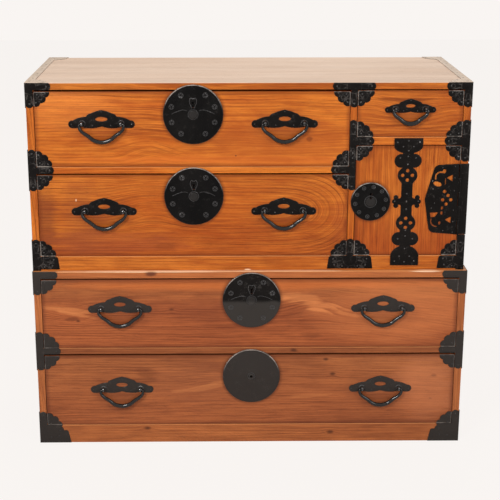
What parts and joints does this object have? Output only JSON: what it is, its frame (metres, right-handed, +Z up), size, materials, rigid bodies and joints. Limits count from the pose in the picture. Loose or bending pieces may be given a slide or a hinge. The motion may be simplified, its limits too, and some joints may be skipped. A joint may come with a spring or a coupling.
{
  "type": "clothing chest",
  "caption": "Low two-section wooden clothing chest with wide drawers, a small drawer, a hinged compartment door, scalloped black iron corners, round locks and bail pulls.",
  "frame": {"origin": "on the floor, under the middle of the chest's box", "axes": "+X to the right as seen from the front, +Y to the back, so the front faces -Y, +Z up"},
  "size_m": [1.2226, 0.5068, 1.0316],
  "materials": {
    "case_wood": "wiped stain, satin",
    "inner_wood": "bare, matt",
    "black_iron": "black lacquer",
    "grey_iron": "worn, matt",
    "forged_iron": "oiled, glossy"
  },
  "bodies": {
    "lower_case": {"lower_top": "case_wood", "lower_bottom": "inner_wood", "lower_left_side": "case_wood", "lower_right_side": "case_wood", "lower_back": "inner_wood", "lower_drawer_rail": "case_wood", "lower_case_irons": "grey_iron"},
    "upper_case": {"upper_top": "case_wood", "upper_bottom": "inner_wood", "upper_left_side": "case_wood", "upper_right_side": "case_wood", "upper_back": "inner_wood", "upper_partition": "case_wood", "upper_drawer_rail": "case_wood", "small_drawer_rail": "case_wood", "compartment_shelf": "inner_wood", "upper_case_irons": "black_iron", "door_hinge_case_leaf": "black_iron"},
    "door": {"door_panel": "case_wood", "door_corner_irons": "black_iron", "door_strap": "black_iron", "door_lock": "black_iron", "door_hinge_leaf": "black_iron"},
    "drawer_1": {"drawer_1_front": "case_wood", "drawer_1_box": "inner_wood", "drawer_1_corner_irons": "black_iron", "drawer_1_lock": "black_iron", "drawer_1_pull_plates": "black_iron"},
    "drawer_2": {"drawer_2_front": "case_wood", "drawer_2_box": "inner_wood", "drawer_2_corner_irons": "black_iron", "drawer_2_lock": "black_iron", "drawer_2_pull_plates": "black_iron"},
    "drawer_3": {"drawer_3_front": "case_wood", "drawer_3_box": "inner_wood", "drawer_3_corner_irons": "grey_iron", "drawer_3_lock": "grey_iron", "drawer_3_pull_plates": "grey_iron"},
    "drawer_4": {"drawer_4_front": "case_wood", "drawer_4_box": "inner_wood", "drawer_4_corner_irons": "grey_iron", "drawer_4_lock": "grey_iron", "drawer_4_pull_plates": "grey_iron"},
    "small_drawer": {"small_drawer_front": "case_wood", "small_drawer_box": "inner_wood", "small_drawer_corner_irons": "black_iron", "small_drawer_pull_plates": "black_iron"},
    "drawer_1_bail_left": {"drawer_1_bail_left": "forged_iron"},
    "drawer_1_bail_right": {"drawer_1_bail_right": "forged_iron"},
    "drawer_2_bail_left": {"drawer_2_bail_left": "forged_iron"},
    "drawer_2_bail_right": {"drawer_2_bail_right": "forged_iron"},
    "drawer_3_bail_left": {"drawer_3_bail_left": "forged_iron"},
    "drawer_3_bail_right": {"drawer_3_bail_right": "forged_iron"},
    "drawer_4_bail_left": {"drawer_4_bail_left": "forged_iron"},
    "drawer_4_bail_right": {"drawer_4_bail_right": "forged_iron"},
    "lower_handle_left": {"lower_handle_left": "forged_iron"},
    "lower_handle_right": {"lower_handle_right": "forged_iron"},
    "small_drawer_bail": {"small_drawer_bail": "forged_iron"},
    "upper_handle_left": {"upper_handle_left": "forged_iron"},
    "upper_handle_right": {"upper_handle_right": "forged_iron"}
  },
  "joints": [
    {"name": "upper_lift", "type": "slide", "parent": "lower_case", "child": "upper_case", "axis": [0, 0, 1], "range_m": [0, 0.15]},
    {"name": "door_hinge", "type": "hinge", "parent": "upper_case", "child": "door", "pos_m": [0.5647, -0.2311, 0.707], "axis": [0, 0, 1], "range_deg": [0, 165]},
    {"name": "drawer_1_slide", "type": "slide", "parent": "upper_case", "child": "drawer_1", "axis": [0, -1, 0], "range_m": [0, 0.35]},
    {"name": "drawer_2_slide", "type": "slide", "parent": "upper_case", "child": "drawer_2", "axis": [0, -1, 0], "range_m": [0, 0.35]},
    {"name": "small_drawer_slide", "type": "slide", "parent": "upper_case", "child": "small_drawer", "axis": [0, -1, 0], "range_m": [0, 0.35]},
    {"name": "drawer_3_slide", "type": "slide", "parent": "lower_case", "child": "drawer_3", "axis": [0, -1, 0], "range_m": [0, 0.35]},
    {"name": "drawer_4_slide", "type": "slide", "parent": "lower_case", "child": "drawer_4", "axis": [0, -1, 0], "range_m": [0, 0.35]},
    {"name": "drawer_1_bail_left_swing", "type": "hinge", "parent": "drawer_1", "child": "drawer_1_bail_left", "pos_m": [-0.39582, -0.2372, 0.922], "axis": [-1, 0, 0], "range_deg": [0, 150]},
    {"name": "drawer_1_bail_right_swing", "type": "hinge", "parent": "drawer_1", "child": "drawer_1_bail_right", "pos_m": [0.09033, -0.2372, 0.922], "axis": [-1, 0, 0], "range_deg": [0, 150]},
    {"name": "drawer_2_bail_left_swing", "type": "hinge", "parent": "drawer_2", "child": "drawer_2_bail_left", "pos_m": [-0.39582, -0.2372, 0.682], "axis": [-1, 0, 0], "range_deg": [0, 150]},
    {"name": "drawer_2_bail_right_swing", "type": "hinge", "parent": "drawer_2", "child": "drawer_2_bail_right", "pos_m": [0.09033, -0.2372, 0.682], "axis": [-1, 0, 0], "range_deg": [0, 150]},
    {"name": "drawer_3_bail_left_swing", "type": "hinge", "parent": "drawer_3", "child": "drawer_3_bail_left", "pos_m": [-0.35995, -0.2472, 0.405], "axis": [-1, 0, 0], "range_deg": [0, 150]},
    {"name": "drawer_3_bail_right_swing", "type": "hinge", "parent": "drawer_3", "child": "drawer_3_bail_right", "pos_m": [0.36795, -0.2472, 0.405], "axis": [-1, 0, 0], "range_deg": [0, 150]},
    {"name": "drawer_4_bail_left_swing", "type": "hinge", "parent": "drawer_4", "child": "drawer_4_bail_left", "pos_m": [-0.35995, -0.2472, 0.1655], "axis": [-1, 0, 0], "range_deg": [0, 150]},
    {"name": "drawer_4_bail_right_swing", "type": "hinge", "parent": "drawer_4", "child": "drawer_4_bail_right", "pos_m": [0.36795, -0.2472, 0.1655], "axis": [-1, 0, 0], "range_deg": [0, 150]},
    {"name": "small_drawer_bail_swing", "type": "hinge", "parent": "small_drawer", "child": "small_drawer_bail", "pos_m": [0.42375, -0.2372, 0.95876], "axis": [-1, 0, 0], "range_deg": [0, 150]},
    {"name": "upper_handle_left_swing", "type": "hinge", "parent": "upper_case", "child": "upper_handle_left", "pos_m": [-0.6041, 0.0134, 0.833], "axis": [0, 1, 0], "range_deg": [0, 150]},
    {"name": "upper_handle_right_swing", "type": "hinge", "parent": "upper_case", "child": "upper_handle_right", "pos_m": [0.5951, 0.0134, 0.833], "axis": [0, -1, 0], "range_deg": [0, 150]},
    {"name": "lower_handle_left_swing", "type": "hinge", "parent": "lower_case", "child": "lower_handle_left", "pos_m": [-0.6051, 0.0134, 0.317], "axis": [0, 1, 0], "range_deg": [0, 150]},
    {"name": "lower_handle_right_swing", "type": "hinge", "parent": "lower_case", "child": "lower_handle_right", "pos_m": [0.6051, 0.0134, 0.317], "axis": [0, -1, 0], "range_deg": [0, 150]}
  ]
}
